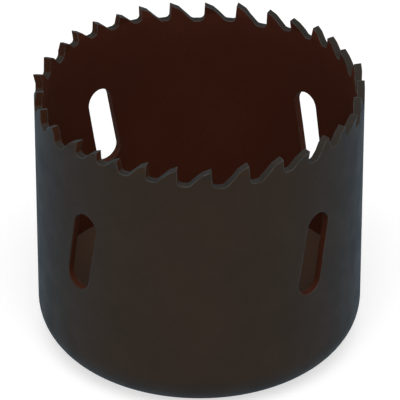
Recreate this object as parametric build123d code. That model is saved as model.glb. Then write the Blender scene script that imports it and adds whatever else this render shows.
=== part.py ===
"""Hole saw: a toothed steel cup welded on a thick end plate.

Millimetres and degrees. +Z points from the back of the end plate towards the
teeth, and the origin is the centre of the flat back, on the cup's axis.
Angles run counter-clockwise from +X, seen from the teeth, which is also the
way the saw turns when it cuts.
"""

from build123d import *
import math
import os

# Cup
hole_diameter = 57.0  # the hole it cuts, 2 1/4 in, over the teeth that are set outwards
cup_height = 48.8  # flat back to tooth tips
wall_thickness = 1.3

# End plate
edge_round = 7.0  # from the flat back up to the shoulder that the wall stands on
spigot_height = 0.8  # centres the wall from inside
spigot_clearance = 0.04

# Arbor seat: 5/8 in - 18 thread, drawn as a plain hole of the thread's outside diameter
arbor_thread_diameter = 15.875
arbor_thread_chamfer = 0.8
drive_pin_count = 4
drive_pin_hole_diameter = 6.8
drive_pin_circle_diameter = 27.0
drive_pin_first_angle = 45.0

# Four slots for pushing the cut plug out, unevenly spaced round the strip
slot_angles = (1.5, 92.0, 177.0, 273.0)
slot_width = 5.0
slot_length = 15.6
slot_slant = 10.0  # the upper end leans the way the saw turns
slot_centre_height = 27.7
slot_edge_break = 0.15  # round the outer mouth

# Teeth: the pitch keeps changing, so that the saw doesn't chatter
tooth_pitches = (
    6.5, 6.2, 5.2, 5.5, 4.6, 4.3, 5.8, 5.8, 5.8, 5.5, 4.8,
    4.5, 4.9, 5.2, 6.1, 5.9, 6.3, 5.6, 4.8, 4.9, 4.8, 4.5,
    5.8, 6.1, 5.9, 6.0, 6.0, 6.4, 4.9, 4.3, 5.1, 5.4, 5.9,
)
first_tip_angle = -37.8
fine_pitch = 4.3
fine_gullet_depth = 2.0
coarse_pitch = 6.5
coarse_gullet_depth = 3.5
face_angle = 3.0  # the cutting face leans back a little, away from its gullet
relief_angle = 27.0  # the slope just behind the tip
relief_share = 0.25  # length of the relief, as a share of the pitch
gullet_floor_share = 0.37  # cutting face to the foot of the next tooth's back
gullet_radius_share = 0.14  # rounding at both ends of the gullet's floor

# Set: the teeth are bent outwards, inwards and left straight, in turn
set_offsets = (0.4, -0.4, 0.0)
set_height = 1.7  # the bend starts this far below the tips, above every gullet

# Worked out from the sizes above
outer_radius = hole_diameter / 2 - max(set_offsets)
inner_radius = outer_radius - wall_thickness
plate_thickness = edge_round + spigot_height
spigot_radius = inner_radius - spigot_clearance
bend_height = cup_height - set_height
tooth_count = len(tooth_pitches)
degrees_per_mm = 360 / sum(tooth_pitches)  # closes the strip's pitches to a full turn
strip_scale = math.tau * outer_radius / sum(tooth_pitches)
cutter_margin = 1.0  # how far a cutting tool stands clear of the metal

# Each gullet is cut by two tools that overlap on its flat floor, as shares of the pitch
back_cut_start = 0.222
front_cut_end = 0.25


def tip_angle(tooth):
    """Angle of a tooth's tip; numbers below 0 or past the last tooth go on round the cup."""
    laps, place = divmod(tooth, tooth_count)
    return first_tip_angle + 360 * laps + degrees_per_mm * sum(tooth_pitches[:place])


def pitch_after(tooth):
    """Distance along the strip from a tooth's tip to the next one."""
    return strip_scale * tooth_pitches[tooth % tooth_count]


def gullet_depth(pitch):
    """Gullets deepen with the pitch, in proportion between the fine and the coarse one."""
    deepening = (coarse_gullet_depth - fine_gullet_depth) / (coarse_pitch - fine_pitch)
    return fine_gullet_depth + deepening * (pitch - fine_pitch)


def front_outline(pitch):
    """Side view of the cut in front of a tooth: cutting face, and half the gullet."""
    depth = gullet_depth(pitch)
    foot = depth * math.tan(math.radians(face_angle))
    floor_end = front_cut_end * pitch
    outline = make_face(Polyline(
        (0, cutter_margin),
        (0, 0),
        (foot, -depth),
        (floor_end, -depth),
        (floor_end, cutter_margin),
        close=True,
    ))
    foot_corner = outline.vertices().sort_by(Axis.Y)[:2].sort_by(Axis.X)[0]
    return fillet(foot_corner, gullet_radius_share * pitch)


def back_outline(pitch):
    """Side view of the cut behind a tooth: relief, back, and half the gullet."""
    depth = gullet_depth(pitch)
    relief_end = -relief_share * pitch
    foot = (gullet_floor_share - 1) * pitch
    floor_start = (back_cut_start - 1) * pitch
    outline = make_face(Polyline(
        (0, cutter_margin),
        (0, 0),
        (relief_end, relief_end * math.tan(math.radians(relief_angle))),
        (foot, -depth),
        (floor_start, -depth),
        (floor_start, cutter_margin),
        close=True,
    ))
    foot_corner = outline.vertices().sort_by(Axis.Y)[:2].sort_by(Axis.X)[1]
    return fillet(foot_corner, gullet_radius_share * pitch)


def radial_plane(angle, height):
    """Upright plane through the axis, facing outwards at an angle, with its X round the cup."""
    outward = Vector(math.cos(math.radians(angle)), math.sin(math.radians(angle)), 0)
    round_cup = Vector(0, 0, 1).cross(outward)
    return Plane(origin=(0, 0, height), x_dir=round_cup, z_dir=outward)


def tooth_tools(tooth):
    """The two cuts that leave one tooth, both square to the radius through its tip."""
    side = radial_plane(tip_angle(tooth), cup_height)
    start = side.offset(inner_radius - cutter_margin)
    outlines = (front_outline(pitch_after(tooth)), back_outline(pitch_after(tooth - 1)))
    reach = wall_thickness + 2 * cutter_margin
    return [extrude(start * outline, reach) for outline in outlines]


def gullet_angle(tooth):
    """Angle of the gullet's floor in front of a tooth."""
    to_floor = (back_cut_start + front_cut_end) / 2 * pitch_after(tooth)
    return tip_angle(tooth) + math.degrees(to_floor / outer_radius)


def set_band(tooth):
    """The stretch of rim that one tooth is cut from, leaning with the tooth's set."""
    lean = set_offsets[tooth % len(set_offsets)]
    section = Polyline(
        (inner_radius, 0, bend_height),
        (outer_radius, 0, bend_height),
        (outer_radius + lean, 0, cup_height),
        (inner_radius + lean, 0, cup_height),
        close=True,
    )
    start = gullet_angle(tooth - 1)
    sweep = gullet_angle(tooth) - start
    return Rot(0, 0, start) * revolve(make_face(section), Axis.Z, revolution_arc=sweep)


def slot_tool(angle):
    """Round-ended slot cutter, aimed away from the axis and slanted."""
    outline = Rot(0, 0, 90 - slot_slant) * SlotOverall(slot_length, slot_width)
    return extrude(radial_plane(angle, slot_centre_height) * outline, outer_radius + cutter_margin)


def slot_mouth_edges(wall):
    """The edges where the slots come out through the outer face of the wall."""
    outer_face = wall.faces().filter_by(GeomType.CYLINDER).sort_by(SortBy.AREA)[-1]
    return [edge for mouth in outer_face.inner_wires() for edge in mouth.edges()]


def slotted_wall():
    """Plain tube from the end plate's shoulder up to the bend of the teeth, with its slots."""
    height = bend_height - edge_round
    tube = Cylinder(outer_radius, height) - Cylinder(inner_radius, height)
    wall = Pos(0, 0, edge_round + height / 2) * tube
    wall -= [slot_tool(angle) for angle in slot_angles]
    return chamfer(slot_mouth_edges(wall), slot_edge_break)


def toothed_cup():
    """Rolled and butt-welded strip: the cup's wall with its slots and set teeth."""
    blank = slotted_wall() + [set_band(tooth) for tooth in range(tooth_count)]
    cuts = [tool for tooth in range(tooth_count) for tool in tooth_tools(tooth)]
    return blank - cuts


def drive_pin_holes():
    """Tools for the plain holes that the arbor's drive pins enter."""
    drill = Cylinder(drive_pin_hole_diameter / 2, plate_thickness + 2 * cutter_margin)
    circle = PolarLocations(drive_pin_circle_diameter / 2, drive_pin_count, drive_pin_first_angle)
    return [Pos(0, 0, plate_thickness / 2) * place * drill for place in circle]


def end_plate():
    """Turned steel disc that closes the cup, with the arbor's thread and drive-pin holes."""
    shoulder_rim = (outer_radius, 0, edge_round)
    back_rim = (outer_radius - edge_round, 0, 0)
    outline = Polyline(
        shoulder_rim,
        (spigot_radius, 0, edge_round),
        (spigot_radius, 0, plate_thickness),
        (0, 0, plate_thickness),
        (0, 0, 0),
        back_rim,
    )
    round_side = TangentArc(back_rim, shoulder_rim, tangent=(1, 0, 0))
    disc = revolve(make_face([outline, round_side]), Axis.Z)
    return disc - arbor_thread_hole() - drive_pin_holes()


def arbor_thread_hole():
    """Tool for the arbor's threaded hole, chamfered at both faces of the plate."""
    radius = arbor_thread_diameter / 2
    mouth = radius + arbor_thread_chamfer
    section = Polyline(
        (0, 0, 0),
        (mouth, 0, 0),
        (radius, 0, arbor_thread_chamfer),
        (radius, 0, plate_thickness - arbor_thread_chamfer),
        (mouth, 0, plate_thickness),
        (0, 0, plate_thickness),
        close=True,
    )
    return revolve(make_face(section), Axis.Z)


os.makedirs("parts", exist_ok=True)
export_step(toothed_cup(), "parts/toothed_cup.step")
export_step(end_plate(), "parts/end_plate.step")
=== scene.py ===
"""Hole saw, standing on its end plate with its teeth up: finish, tapped thread, studio and camera."""

import math

import bmesh
import bpy
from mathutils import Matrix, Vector


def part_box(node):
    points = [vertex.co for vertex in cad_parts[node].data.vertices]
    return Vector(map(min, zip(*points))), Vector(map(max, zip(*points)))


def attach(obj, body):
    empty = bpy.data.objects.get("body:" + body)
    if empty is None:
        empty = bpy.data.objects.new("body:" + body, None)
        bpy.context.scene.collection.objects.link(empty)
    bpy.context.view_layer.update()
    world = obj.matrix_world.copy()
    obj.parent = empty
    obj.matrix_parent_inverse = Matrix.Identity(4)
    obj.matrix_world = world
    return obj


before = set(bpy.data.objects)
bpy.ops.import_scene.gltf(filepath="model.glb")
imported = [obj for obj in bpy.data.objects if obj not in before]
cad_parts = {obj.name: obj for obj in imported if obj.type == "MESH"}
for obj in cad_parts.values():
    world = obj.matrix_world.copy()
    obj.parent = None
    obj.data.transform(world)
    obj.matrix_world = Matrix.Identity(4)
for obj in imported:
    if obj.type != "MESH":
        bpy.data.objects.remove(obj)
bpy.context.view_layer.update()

MM = 0.001  # in metres, which the scene is in

# Sizes of the saw, in millimetres, taken from the frame
cup_low, cup_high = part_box("toothed_cup")
plate_low, plate_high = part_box("end_plate")
shoulder_height = cup_low[2] / MM
plate_thickness = plate_high[2] / MM
cup_height = cup_high[2] / MM
outer_radius = plate_high[0] / MM

seam_angle = 225.0  # degrees; where the rolled strip's ends are butt-welded together

# Where the finish changes over, in millimetres: a change starts at the first and is full at the second
above_slots = (40.0, 42.0)  # heights between the slots' ends and the foot of the teeth
painted_shade_heights = (16.0, 44.0)  # heights from deep inside the cup to its mouth, over which the painted shade inside deepens
outside_holes = (18.0, 19.0)  # radii between the plate's holes and the start of its round
clear_of_shoulder = (0.3, 0.6)  # distances from the line where wall and plate are welded flush
seam_slope = (0.8, 0.3)  # distances from the middle of the strip's butt weld, from foot to crown

# The same for the way a face looks: cosines of its angle from straight outwards, or from straight up
looks_outwards = (0.25, 0.6)
inside_to_cut = (-0.7, -0.3)
looks_down = (-0.3, -0.6)
looks_up = (0.35, 0.6)

# 5/8 in - 18 thread for the arbor
thread_radius = 15.875 / 2
thread_pitch = 25.4 / 18
thread_depth = 0.5413 * thread_pitch  # a 60 degree thread with flat crests
thread_chamfer = 0.8
crest_flat = thread_pitch / 4
root_flat = thread_pitch / 8
thread_root = thread_radius - 0.01  # keeps the roots just in front of the bore's own wall
thread_backing = 0.1  # thickness of the ring behind the roots, inside the plate

# The saw's enamel, by how thick it lies
OUTER_FILM = "#332618"  # thick, nearly black
INNER_FILM = "#4b2619"  # thin on the strip, so that the pigment's red shows
PLATE_FLOOR_PAINTED_LIGHT = "#5e493d"  # greyer brown of the cup's floor, lightened as painted light against the shade at the bottom of the cup
THIN_EDGE_AND_PAINTED_HIGHLIGHT = "#6b7070"  # steel's grey behind a film drawn back from an edge, and painted highlight along edges and on the teeth's tops
BLOOM = "#00c4ff"  # of the thick film, at glancing angles

# The tapped steel
CREST = "#97948d"  # bright from the tap
OILY_ROOT = "#4f4a44"  # dark with cutting oil

# The studio
WHITE = "#ffffff"
FLOOR_PAPER = "#c8c8c8"


# Nodes -----------------------------------------------------------------------------------------

SMOOTH = {"interpolation_type": "SMOOTHSTEP"}  # for a Map Range node that eases in and out
NOISE_SPAN = (0.3, 0.7)  # nearly all of a noise lies between these


def linear(hex_colour):
    """An sRGB hex colour, such as '#2c150d', as the linear RGBA that a socket takes."""
    channels = [int(hex_colour[start:start + 2], 16) / 255 for start in (1, 3, 5)]
    return [c / 12.92 if c <= 0.04045 else ((c + 0.055) / 1.055) ** 2.4 for c in channels] + [1.0]


def put(tree, kind, inputs=(), **settings):
    """Adds a node with its settings and fills its inputs, given in their order or by name.

    A node is linked by its first output and a socket as it is. Anything else is a value.
    """
    made = tree.nodes.new(kind)
    for name, value in settings.items():
        setattr(made, name, value)
    if isinstance(inputs, dict):
        filled = [(made.inputs[name], value) for name, value in inputs.items()]
    else:
        filled = zip([socket for socket in made.inputs if socket.enabled], inputs)
    for socket, value in filled:
        if isinstance(value, bpy.types.Node):
            value = next(output for output in value.outputs if output.enabled)
        if isinstance(value, bpy.types.NodeSocket):
            tree.links.new(value, socket)
        else:
            socket.default_value = value
    return made


def new_material(name):
    """A material with nothing in it yet, and its node tree."""
    material = bpy.data.materials.new(name)
    material.use_nodes = True
    material.node_tree.nodes.clear()
    return material, material.node_tree


def in_millimetres(tree):
    """Places on the saw in millimetres."""
    in_metres = put(tree, "ShaderNodeTexCoord").outputs["Object"]
    return put(tree, "ShaderNodeVectorMath", [in_metres, 1 / MM], operation="SCALE")


def from_axis(tree, here):
    """The level line from the saw's axis out to each place."""
    return put(tree, "ShaderNodeVectorMath", [here, (1, 1, 0)], operation="MULTIPLY")


def along_strip(tree, here):
    """Places unrolled on the flat strip: millimetres round from opposite its seam, height, radius."""
    turned = put(
        tree, "ShaderNodeMapping",
        {"Vector": here, "Rotation": (0, 0, math.radians(180 - seam_angle))},
    )
    axes = put(tree, "ShaderNodeSeparateXYZ", [turned])
    angle = put(tree, "ShaderNodeMath", [axes.outputs["Y"], axes.outputs["X"]], operation="ARCTAN2")
    arc = put(tree, "ShaderNodeMath", [angle, outer_radius], operation="MULTIPLY")
    radius = put(tree, "ShaderNodeVectorMath", [from_axis(tree, here)], operation="LENGTH")
    return put(tree, "ShaderNodeCombineXYZ", [arc, axes.outputs["Z"], radius])


def speckle(tree, places, sizes, detail=2.0):
    """Soft noise from 0 to 1 whose grain has the given sizes in millimetres along each axis."""
    shrink = tuple(1 / size for size in sizes)
    grains = put(tree, "ShaderNodeVectorMath", [places, shrink], operation="MULTIPLY")
    return put(tree, "ShaderNodeTexNoise", {"Vector": grains, "Scale": 1.0, "Detail": detail})


def wandering(tree, here, size, low, high):
    """A value that wanders softly between low and high, in patches of a size in millimetres."""
    patches = speckle(tree, here, (size, size, size))
    return put(tree, "ShaderNodeMapRange", [patches, *NOISE_SPAN, low, high], **SMOOTH)


# Stoved enamel ---------------------------------------------------------------------------------


def facing_outwards(tree, here, normal):
    """How far a face looks away from the saw's axis: 1 outside, -1 inside, 0 on cut faces."""
    outward = put(tree, "ShaderNodeVectorMath", [from_axis(tree, here)], operation="NORMALIZE")
    return put(tree, "ShaderNodeVectorMath", [outward, normal], operation="DOT_PRODUCT")


def tops_of_teeth(tree, height, upright):
    """The faces of the teeth that look up: reliefs, backs and gullet floors."""
    upwards = put(tree, "ShaderNodeMapRange", [upright, *looks_up], **SMOOTH)
    at_teeth = put(tree, "ShaderNodeMapRange", [height, *above_slots], **SMOOTH)
    return put(tree, "ShaderNodeMath", [upwards, at_teeth], operation="MULTIPLY")


def missed_by_spray(tree, here, facing, upright, tops):
    """The faces that don't take the spray square: all but the outside, and the teeth's tops in part."""
    tops_share = 0.45
    radius = put(tree, "ShaderNodeVectorMath", [from_axis(tree, here)], operation="LENGTH")
    outside = put(tree, "ShaderNodeMapRange", [radius, *outside_holes], **SMOOTH)
    outwards = put(tree, "ShaderNodeMapRange", [facing, *looks_outwards], **SMOOTH)
    outwards = put(tree, "ShaderNodeMath", [outwards, outside], operation="MULTIPLY")
    downwards = put(tree, "ShaderNodeMapRange", [upright, *looks_down], **SMOOTH)
    square_on = put(tree, "ShaderNodeMath", [outwards, downwards], operation="MAXIMUM")
    partly = put(tree, "ShaderNodeMath", [tops, tops_share], operation="MULTIPLY")
    sprayed = put(tree, "ShaderNodeMath", [square_on, partly], operation="MAXIMUM")
    return put(tree, "ShaderNodeMath", [1.0, sprayed], operation="SUBTRACT")


def thin_colour(tree, inner_colour, height, facing, tops):
    """The inside's colour, nearer the outside's on cut faces, and all of it on the teeth's tops."""
    slot_share, tooth_share = 0.1, 0.45
    cut = put(tree, "ShaderNodeMapRange", [facing, *inside_to_cut], **SMOOTH)
    nearer = put(tree, "ShaderNodeMapRange", [height, *above_slots, slot_share, tooth_share], **SMOOTH)
    on_cuts = put(tree, "ShaderNodeMath", [nearer, cut], operation="MULTIPLY")
    outer_share = put(tree, "ShaderNodeMath", [on_cuts, tops], operation="MAXIMUM")
    colours = [outer_share, linear(inner_colour), linear(OUTER_FILM)]
    return put(tree, "ShaderNodeMix", colours, data_type="RGBA")


def thin_shade(tree, shade, height, facing, tops):
    """How light the thin film is: painted light deep inside, painted shade towards the rim and on cut
    faces.
    """
    deep_painted_light, mouth_painted_shade, cut_painted_shade, tops_painted_shade = 1.13, 0.76, 0.75, 1.1
    # Painted light and shade: lighter deep inside, darker towards the mouth where the key light reaches
    # in, and a quarter darker on cut faces
    inside = put(tree, "ShaderNodeMapRange", [height, *painted_shade_heights, deep_painted_light, mouth_painted_shade], **SMOOTH)
    cut = put(tree, "ShaderNodeMapRange", [facing, *inside_to_cut], **SMOOTH)
    painted_shade_mix = put(tree, "ShaderNodeMix", [cut, inside, cut_painted_shade])
    painted_shade_applied = put(tree, "ShaderNodeMath", [shade, painted_shade_mix], operation="MULTIPLY")
    # Painted shade on the teeth's tops, which face the key light
    painted_light_on_tops = put(tree, "ShaderNodeMapRange", [tops, 0, 1, 1, tops_painted_shade], **SMOOTH)
    return put(tree, "ShaderNodeMath", [painted_shade_applied, painted_light_on_tops], operation="MULTIPLY")


def thick_shade(tree, shade, tops):
    """How light the thick film is: painted shade on the teeth's tops, which face the key light and would
    outshine the wall.
    """
    tops_painted_shade = 0.5
    painted_light_on_tops = put(tree, "ShaderNodeMapRange", [tops, 0, 1, 1, tops_painted_shade], **SMOOTH)
    return put(tree, "ShaderNodeMath", [shade, painted_light_on_tops], operation="MULTIPLY")


def rounded_edges(tree, height):
    """The way the surface faces with its edges rounded by the film, and where those edges are."""
    film_round = 0.25 * MM
    barely_turned, well_turned = 0.99, 0.85  # cosines of how far the rounding turns the surface
    plain = put(tree, "ShaderNodeNewGeometry").outputs["Normal"]
    rounded = put(tree, "ShaderNodeBevel", {"Radius": film_round}, samples=8)

    # The wall is welded flush on the plate's shoulder, so there is no edge to round there
    above = put(tree, "ShaderNodeMath", [height, shoulder_height], operation="SUBTRACT")
    distance = put(tree, "ShaderNodeMath", [above], operation="ABSOLUTE")
    clear = put(tree, "ShaderNodeMapRange", [distance, *clear_of_shoulder], **SMOOTH)
    rounded = put(tree, "ShaderNodeMix", [clear, plain, rounded], data_type="VECTOR")
    alike = put(tree, "ShaderNodeVectorMath", [rounded, plain], operation="DOT_PRODUCT")
    edges = put(tree, "ShaderNodeMapRange", [alike, barely_turned, well_turned], **SMOOTH)
    return rounded, edges


def thinned_film_and_painted_highlight(tree, here, height, edges, tops):
    """Share greyed: film drawn back in patches along edges, with painted highlight there, and painted
    highlight on tooth tops.
    """
    patch_size = (1.6, 1.6, 1.6)
    patch_span = (0.35, 0.65)  # of the noise, narrow enough for the patches to show
    patch_shares = (0.25, 0.65)
    slot_share, tooth_share = 0.6, 0.9  # of the patches, along the edges of slots and of teeth
    tops_share = 0.09
    noise = speckle(tree, here, patch_size)
    patches = put(tree, "ShaderNodeMapRange", [noise, *patch_span, *patch_shares], **SMOOTH)
    wear_and_highlight = put(tree, "ShaderNodeMapRange", [height, *above_slots, slot_share, tooth_share], **SMOOTH)
    patches = put(tree, "ShaderNodeMath", [patches, wear_and_highlight], operation="MULTIPLY")
    # Greyer along edges: film drawn back, and painted highlight
    along_edges = put(tree, "ShaderNodeMath", [edges, patches], operation="MULTIPLY")
    # Painted highlight: the teeth's tops a little greyer
    painted_light_on_tops = put(tree, "ShaderNodeMath", [tops, tops_share], operation="MULTIPLY")
    return put(tree, "ShaderNodeMath", [along_edges, painted_light_on_tops], operation="MAXIMUM")


def film_relief(tree, here, rounded, marks_size, marks_depth, seam_rise):
    """The film's orange peel, the metal's marks under it, and the strip's butt weld."""
    # Orange peel, a little coarser than real so that it shows
    peel_size, peel_depth = (0.7, 0.7, 0.7), 0.02
    peel = put(
        tree, "ShaderNodeBump",
        {"Height": speckle(tree, here, peel_size, 1.0), "Distance": peel_depth * MM, "Normal": rounded},
    )
    strip = along_strip(tree, here)
    marks = put(
        tree, "ShaderNodeBump",
        {"Height": speckle(tree, strip, marks_size, 3.0), "Distance": marks_depth * MM, "Normal": peel},
    )

    # The butt weld is ground nearly flush: a shallow, slightly uneven rise 1.6 mm wide
    round_strip = put(tree, "ShaderNodeSeparateXYZ", [strip]).outputs["X"]
    from_opposite = put(tree, "ShaderNodeMath", [round_strip], operation="ABSOLUTE")
    half_round = math.pi * outer_radius
    from_seam = put(tree, "ShaderNodeMath", [half_round, from_opposite], operation="SUBTRACT")
    crown = put(tree, "ShaderNodeMapRange", [from_seam, *seam_slope], **SMOOTH)
    uneven = wandering(tree, here, size=1, low=0.6, high=1.0)
    rise = put(tree, "ShaderNodeMath", [crown, uneven], operation="MULTIPLY")
    return put(tree, "ShaderNodeBump", {"Height": rise, "Distance": seam_rise * MM, "Normal": marks})


def film(tree, colour, shade, thinned_and_highlit, roughness, relief, bloom):
    """One thickness of the enamel: its colour shaded, greyer where it is thinned or a highlight is
    painted, bloom as its sheen.
    """
    shaded = put(tree, "ShaderNodeVectorMath", [colour, shade], operation="SCALE")
    greyed = put(tree, "ShaderNodeMix", [thinned_and_highlit, shaded, linear(THIN_EDGE_AND_PAINTED_HIGHLIGHT)], data_type="RGBA")
    return put(
        tree, "ShaderNodeBsdfPrincipled",
        {
            "Base Color": greyed,
            "Roughness": roughness,
            "IOR": 1.5,
            "Specular IOR Level": 0.05,  # the pigment stands out of the binder and kills its gloss
            "Sheen Weight": bloom,
            "Sheen Roughness": 0.58,
            "Sheen Tint": linear(BLOOM),
            "Normal": relief,
        },
    )


def stoved_enamel(name, inner_colour, marks_size, marks_depth, seam_rise=0.0):
    """Dark brown enamel, sprayed on the welded saw and stoved to a matt film.

    Outside, where the spray lands square, the film is thick and nearly black, with a faint blue
    bloom at glancing angles. Inside it is thin, and the red of the pigment shows. Seen close it
    has a fine orange peel, the marks of the metal under it, and edges that it has drawn back
    from, where it looks greyer; that grey, and the grey on the teeth's tops, is partly painted highlight.
    """
    material, tree = new_material(name)
    here = in_millimetres(tree)
    height = put(tree, "ShaderNodeSeparateXYZ", [here]).outputs["Z"]
    normal = put(tree, "ShaderNodeTexCoord").outputs["Normal"]
    upright = put(tree, "ShaderNodeSeparateXYZ", [normal]).outputs["Z"]
    facing = facing_outwards(tree, here, normal)
    tops = tops_of_teeth(tree, height, upright)

    # The film lies a little thicker and thinner in clouds, has a fine grain, and dries unevenly matt
    clouds = wandering(tree, here, size=12, low=0.96, high=1.04)
    grain = wandering(tree, here, size=0.35, low=0.94, high=1.06)
    shade = put(tree, "ShaderNodeMath", [clouds, grain], operation="MULTIPLY")
    rounded, edges = rounded_edges(tree, height)
    both = {
        "thinned_and_highlit": thinned_film_and_painted_highlight(tree, here, height, edges, tops),
        "roughness": wandering(tree, here, size=4, low=0.64, high=0.76),
        "relief": film_relief(tree, here, rounded, marks_size, marks_depth, seam_rise),
    }
    thick = film(tree, linear(OUTER_FILM)[:3], thick_shade(tree, shade, tops), bloom=0.082, **both)
    thin = film(
        tree, thin_colour(tree, inner_colour, height, facing, tops),
        thin_shade(tree, shade, height, facing, tops), bloom=0.0, **both,
    )
    missed = missed_by_spray(tree, here, facing, upright, tops)
    enamel = put(tree, "ShaderNodeMixShader", [missed, thick, thin])
    put(tree, "ShaderNodeOutputMaterial", {"Surface": enamel})
    return material


def paint(node, material):
    """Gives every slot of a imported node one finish."""
    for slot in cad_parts[node].material_slots:
        slot.material = material


# Arbor thread ----------------------------------------------------------------------------------


def tapped_steel():
    """Mild steel, tapped after the enamel: bright crests with the tap's fine lines, oil in the roots."""
    material, tree = new_material("tapped_steel")
    strip = along_strip(tree, in_millimetres(tree))
    radius = put(tree, "ShaderNodeSeparateXYZ", [strip]).outputs["Z"]
    crest_radius = thread_radius - thread_depth
    oiled = put(tree, "ShaderNodeMapRange", [radius, crest_radius, thread_radius], **SMOOTH)
    steel = put(tree, "ShaderNodeMix", [oiled, linear(CREST), linear(OILY_ROOT)], data_type="RGBA")

    # The tap's lines run round the thread, about eight to a millimetre
    lines = speckle(tree, strip, (6, 0.12, 0.12), 3.0)
    roughness = put(tree, "ShaderNodeMapRange", [lines, *NOISE_SPAN, 0.28, 0.5], **SMOOTH)
    grooves = put(tree, "ShaderNodeBump", {"Height": lines, "Distance": 0.01 * MM, "Strength": 0.7})
    shader = put(
        tree, "ShaderNodeBsdfPrincipled",
        {"Base Color": steel, "Metallic": 1.0, "Roughness": roughness, "Normal": grooves},
    )
    put(tree, "ShaderNodeOutputMaterial", {"Surface": shader})
    return material


def thread_column(turn, low, high):
    """Points (height, radius) down one side of the bore, after a part of a turn round it."""
    flank = (thread_pitch - crest_flat - root_flat) / 2
    crest = thread_radius - thread_depth
    profile = (
        (0, thread_root),
        (root_flat, thread_root),
        (root_flat + flank, crest),
        (root_flat + flank + crest_flat, crest),
    )
    laps = math.ceil((high - low) / thread_pitch) + 1
    column = [(low, thread_radius + thread_backing)]
    for lap in range(-1, laps):
        for rise, radius in profile:
            height = min(max(low + (lap + turn) * thread_pitch + rise, low), high)
            from_mouth = min(height, plate_thickness - height)
            chamfered = thread_radius + thread_chamfer - from_mouth
            column.append((height, min(thread_root, max(radius, chamfered))))
    column.append((high, thread_radius + thread_backing))
    return column


def arbor_thread():
    """The helical ridge inside the plate's bore, one closed ring: thread inside, bore wall outside."""
    steps = 128
    same_place = 0.001 * MM  # points that lie closer than this are one
    low = thread_chamfer
    high = plate_thickness - thread_chamfer
    mesh = bmesh.new()
    columns = []
    for step in range(steps + 1):
        angle = math.tau * step / steps
        columns.append([
            mesh.verts.new((r * MM * math.cos(angle), r * MM * math.sin(angle), z * MM))
            for z, r in thread_column(step / steps, low, high)
        ])
    for near, far in zip(columns, columns[1:]):
        rows = len(near)
        for row in range(rows):
            above = (row + 1) % rows
            mesh.faces.new((near[row], far[row], far[above], near[above]))
    bmesh.ops.remove_doubles(mesh, verts=mesh.verts, dist=same_place)
    bmesh.ops.dissolve_degenerate(mesh, edges=mesh.edges, dist=same_place)
    bmesh.ops.recalc_face_normals(mesh, faces=mesh.faces)
    data = bpy.data.meshes.new("arbor_thread")
    mesh.to_mesh(data)
    mesh.free()
    piece = bpy.data.objects.new("arbor_thread", data)
    bpy.context.collection.objects.link(piece)
    return piece


# Studio, in metres -----------------------------------------------------------------------------


def seen_directly(tree):
    """1 for what the camera sees, also in gloss or through glass, and 0 for what lights the saw."""
    path = put(tree, "ShaderNodeLightPath")
    rays = [path.outputs["Is Camera Ray"], path.outputs["Is Glossy Ray"]]
    seen = put(tree, "ShaderNodeMath", rays, operation="MAXIMUM")
    return put(
        tree, "ShaderNodeMath", [seen, path.outputs["Is Transmission Ray"]], operation="MAXIMUM",
    )


def floor():
    """Pale paper floor that stays white where nothing shades it, a hair clear of the saw's flat back."""
    half_width = 2.0
    level = -0.02 * MM
    lift = 0.62  # brings the lit paper up to white where it is seen directly
    data = bpy.data.meshes.new("floor")
    corners = [(x * half_width, y * half_width, level) for x, y in ((-1, -1), (1, -1), (1, 1), (-1, 1))]
    data.from_pydata(corners, [], [(0, 1, 2, 3)])
    plane = bpy.data.objects.new("floor", data)
    bpy.context.collection.objects.link(plane)
    material, tree = new_material("studio_floor")
    glow = put(tree, "ShaderNodeMath", [seen_directly(tree), lift], operation="MULTIPLY")
    paper = put(tree, "ShaderNodeBsdfDiffuse", {"Color": linear(FLOOR_PAPER)})
    white = put(tree, "ShaderNodeEmission", [linear(WHITE), glow])
    both = put(tree, "ShaderNodeAddShader", [paper, white])
    put(tree, "ShaderNodeOutputMaterial", {"Surface": both})
    data.materials.append(material)


def surroundings(strength):
    """Even light from all round, seen as plain white."""
    world = bpy.data.worlds.new("studio")
    bpy.context.scene.world = world
    world.use_nodes = True
    tree = world.node_tree
    tree.nodes.clear()
    level = put(tree, "ShaderNodeMapRange", [seen_directly(tree), 0, 1, strength, 1.0])
    sky = put(tree, "ShaderNodeBackground", [linear(WHITE), level])
    put(tree, "ShaderNodeOutputWorld", {"Surface": sky})


def sight(azimuth, elevation):
    """Unit vector from the saw towards a viewer: azimuth 0 stands at -Y, 90 at +X."""
    turn = math.radians(azimuth)
    rise = math.radians(elevation)
    return Vector((math.sin(turn) * math.cos(rise), -math.cos(turn) * math.cos(rise), math.sin(rise)))


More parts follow.
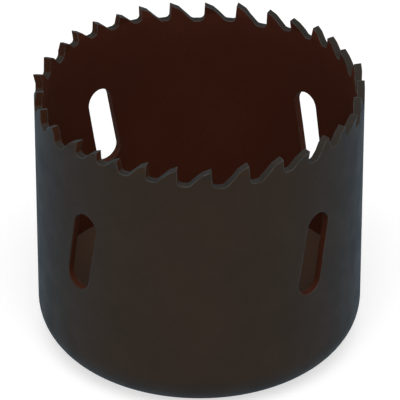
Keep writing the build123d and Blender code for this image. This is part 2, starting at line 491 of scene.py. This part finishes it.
def aim(placed, target, azimuth, elevation, distance):
    """Stands a lamp or camera off a target, looking at it."""
    placed.location = target + distance * sight(azimuth, elevation)
    placed.rotation_euler = (target - placed.location).to_track_quat("-Z", "Y").to_euler()
    bpy.context.collection.objects.link(placed)


def softbox(name, azimuth, elevation, distance, size, power):
    """Square soft white light aimed at the middle of the saw."""
    lamp = bpy.data.lights.new(name, "AREA")
    lamp.size = size
    lamp.energy = power
    middle = Vector((0, 0, cup_height * MM / 2))
    aim(bpy.data.objects.new(name, lamp), middle, azimuth, elevation, distance)


def camera():
    """The camera, a long lens looking down over the near rim to the far inside wall."""
    azimuth = 48.11
    aim_height = 0.02541
    aim_right = 0.000107
    right = Vector((math.cos(math.radians(azimuth)), math.sin(math.radians(azimuth)), 0))
    lens = bpy.data.cameras.new("camera")
    lens.lens = 391.3  # millimetres, as the sensor's width
    lens.sensor_width = 36
    lens.clip_start = 0.01
    viewer = bpy.data.objects.new("camera", lens)
    aim(viewer, Vector((0, 0, aim_height)) + aim_right * right, azimuth, elevation=32.48, distance=0.75)
    bpy.context.scene.camera = viewer


camera()
floor()
surroundings(strength=0.34)
softbox("key_light", azimuth=48, elevation=62, distance=1.2, size=0.8, power=7.5)
softbox("front_light", azimuth=48, elevation=15, distance=1.4, size=1.0, power=2.4)
softbox("left_light", azimuth=-22, elevation=14, distance=1.2, size=0.6, power=2.1)
softbox("right_light", azimuth=118, elevation=14, distance=1.2, size=0.6, power=1.7)
bpy.context.scene.view_settings.view_transform = "Standard"

# Marks under the film, in millimetres. Rolling lines run along the strip, and are finer on a real one.
# Turning rings run round the plate, one to each 0.3 mm of the tool's feed.
strip_enamel = stoved_enamel(
    "stoved_enamel_on_strip", INNER_FILM, marks_size=(14, 0.4, 0.4), marks_depth=0.012, seam_rise=0.08,
)
plate_enamel = stoved_enamel(
    "stoved_enamel_on_plate", PLATE_FLOOR_PAINTED_LIGHT, marks_size=(40, 0.3, 0.3), marks_depth=0.015,
)
paint("toothed_cup", strip_enamel)
paint("end_plate", plate_enamel)

thread = arbor_thread()
thread.data.materials.append(tapped_steel())
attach(thread, "root")
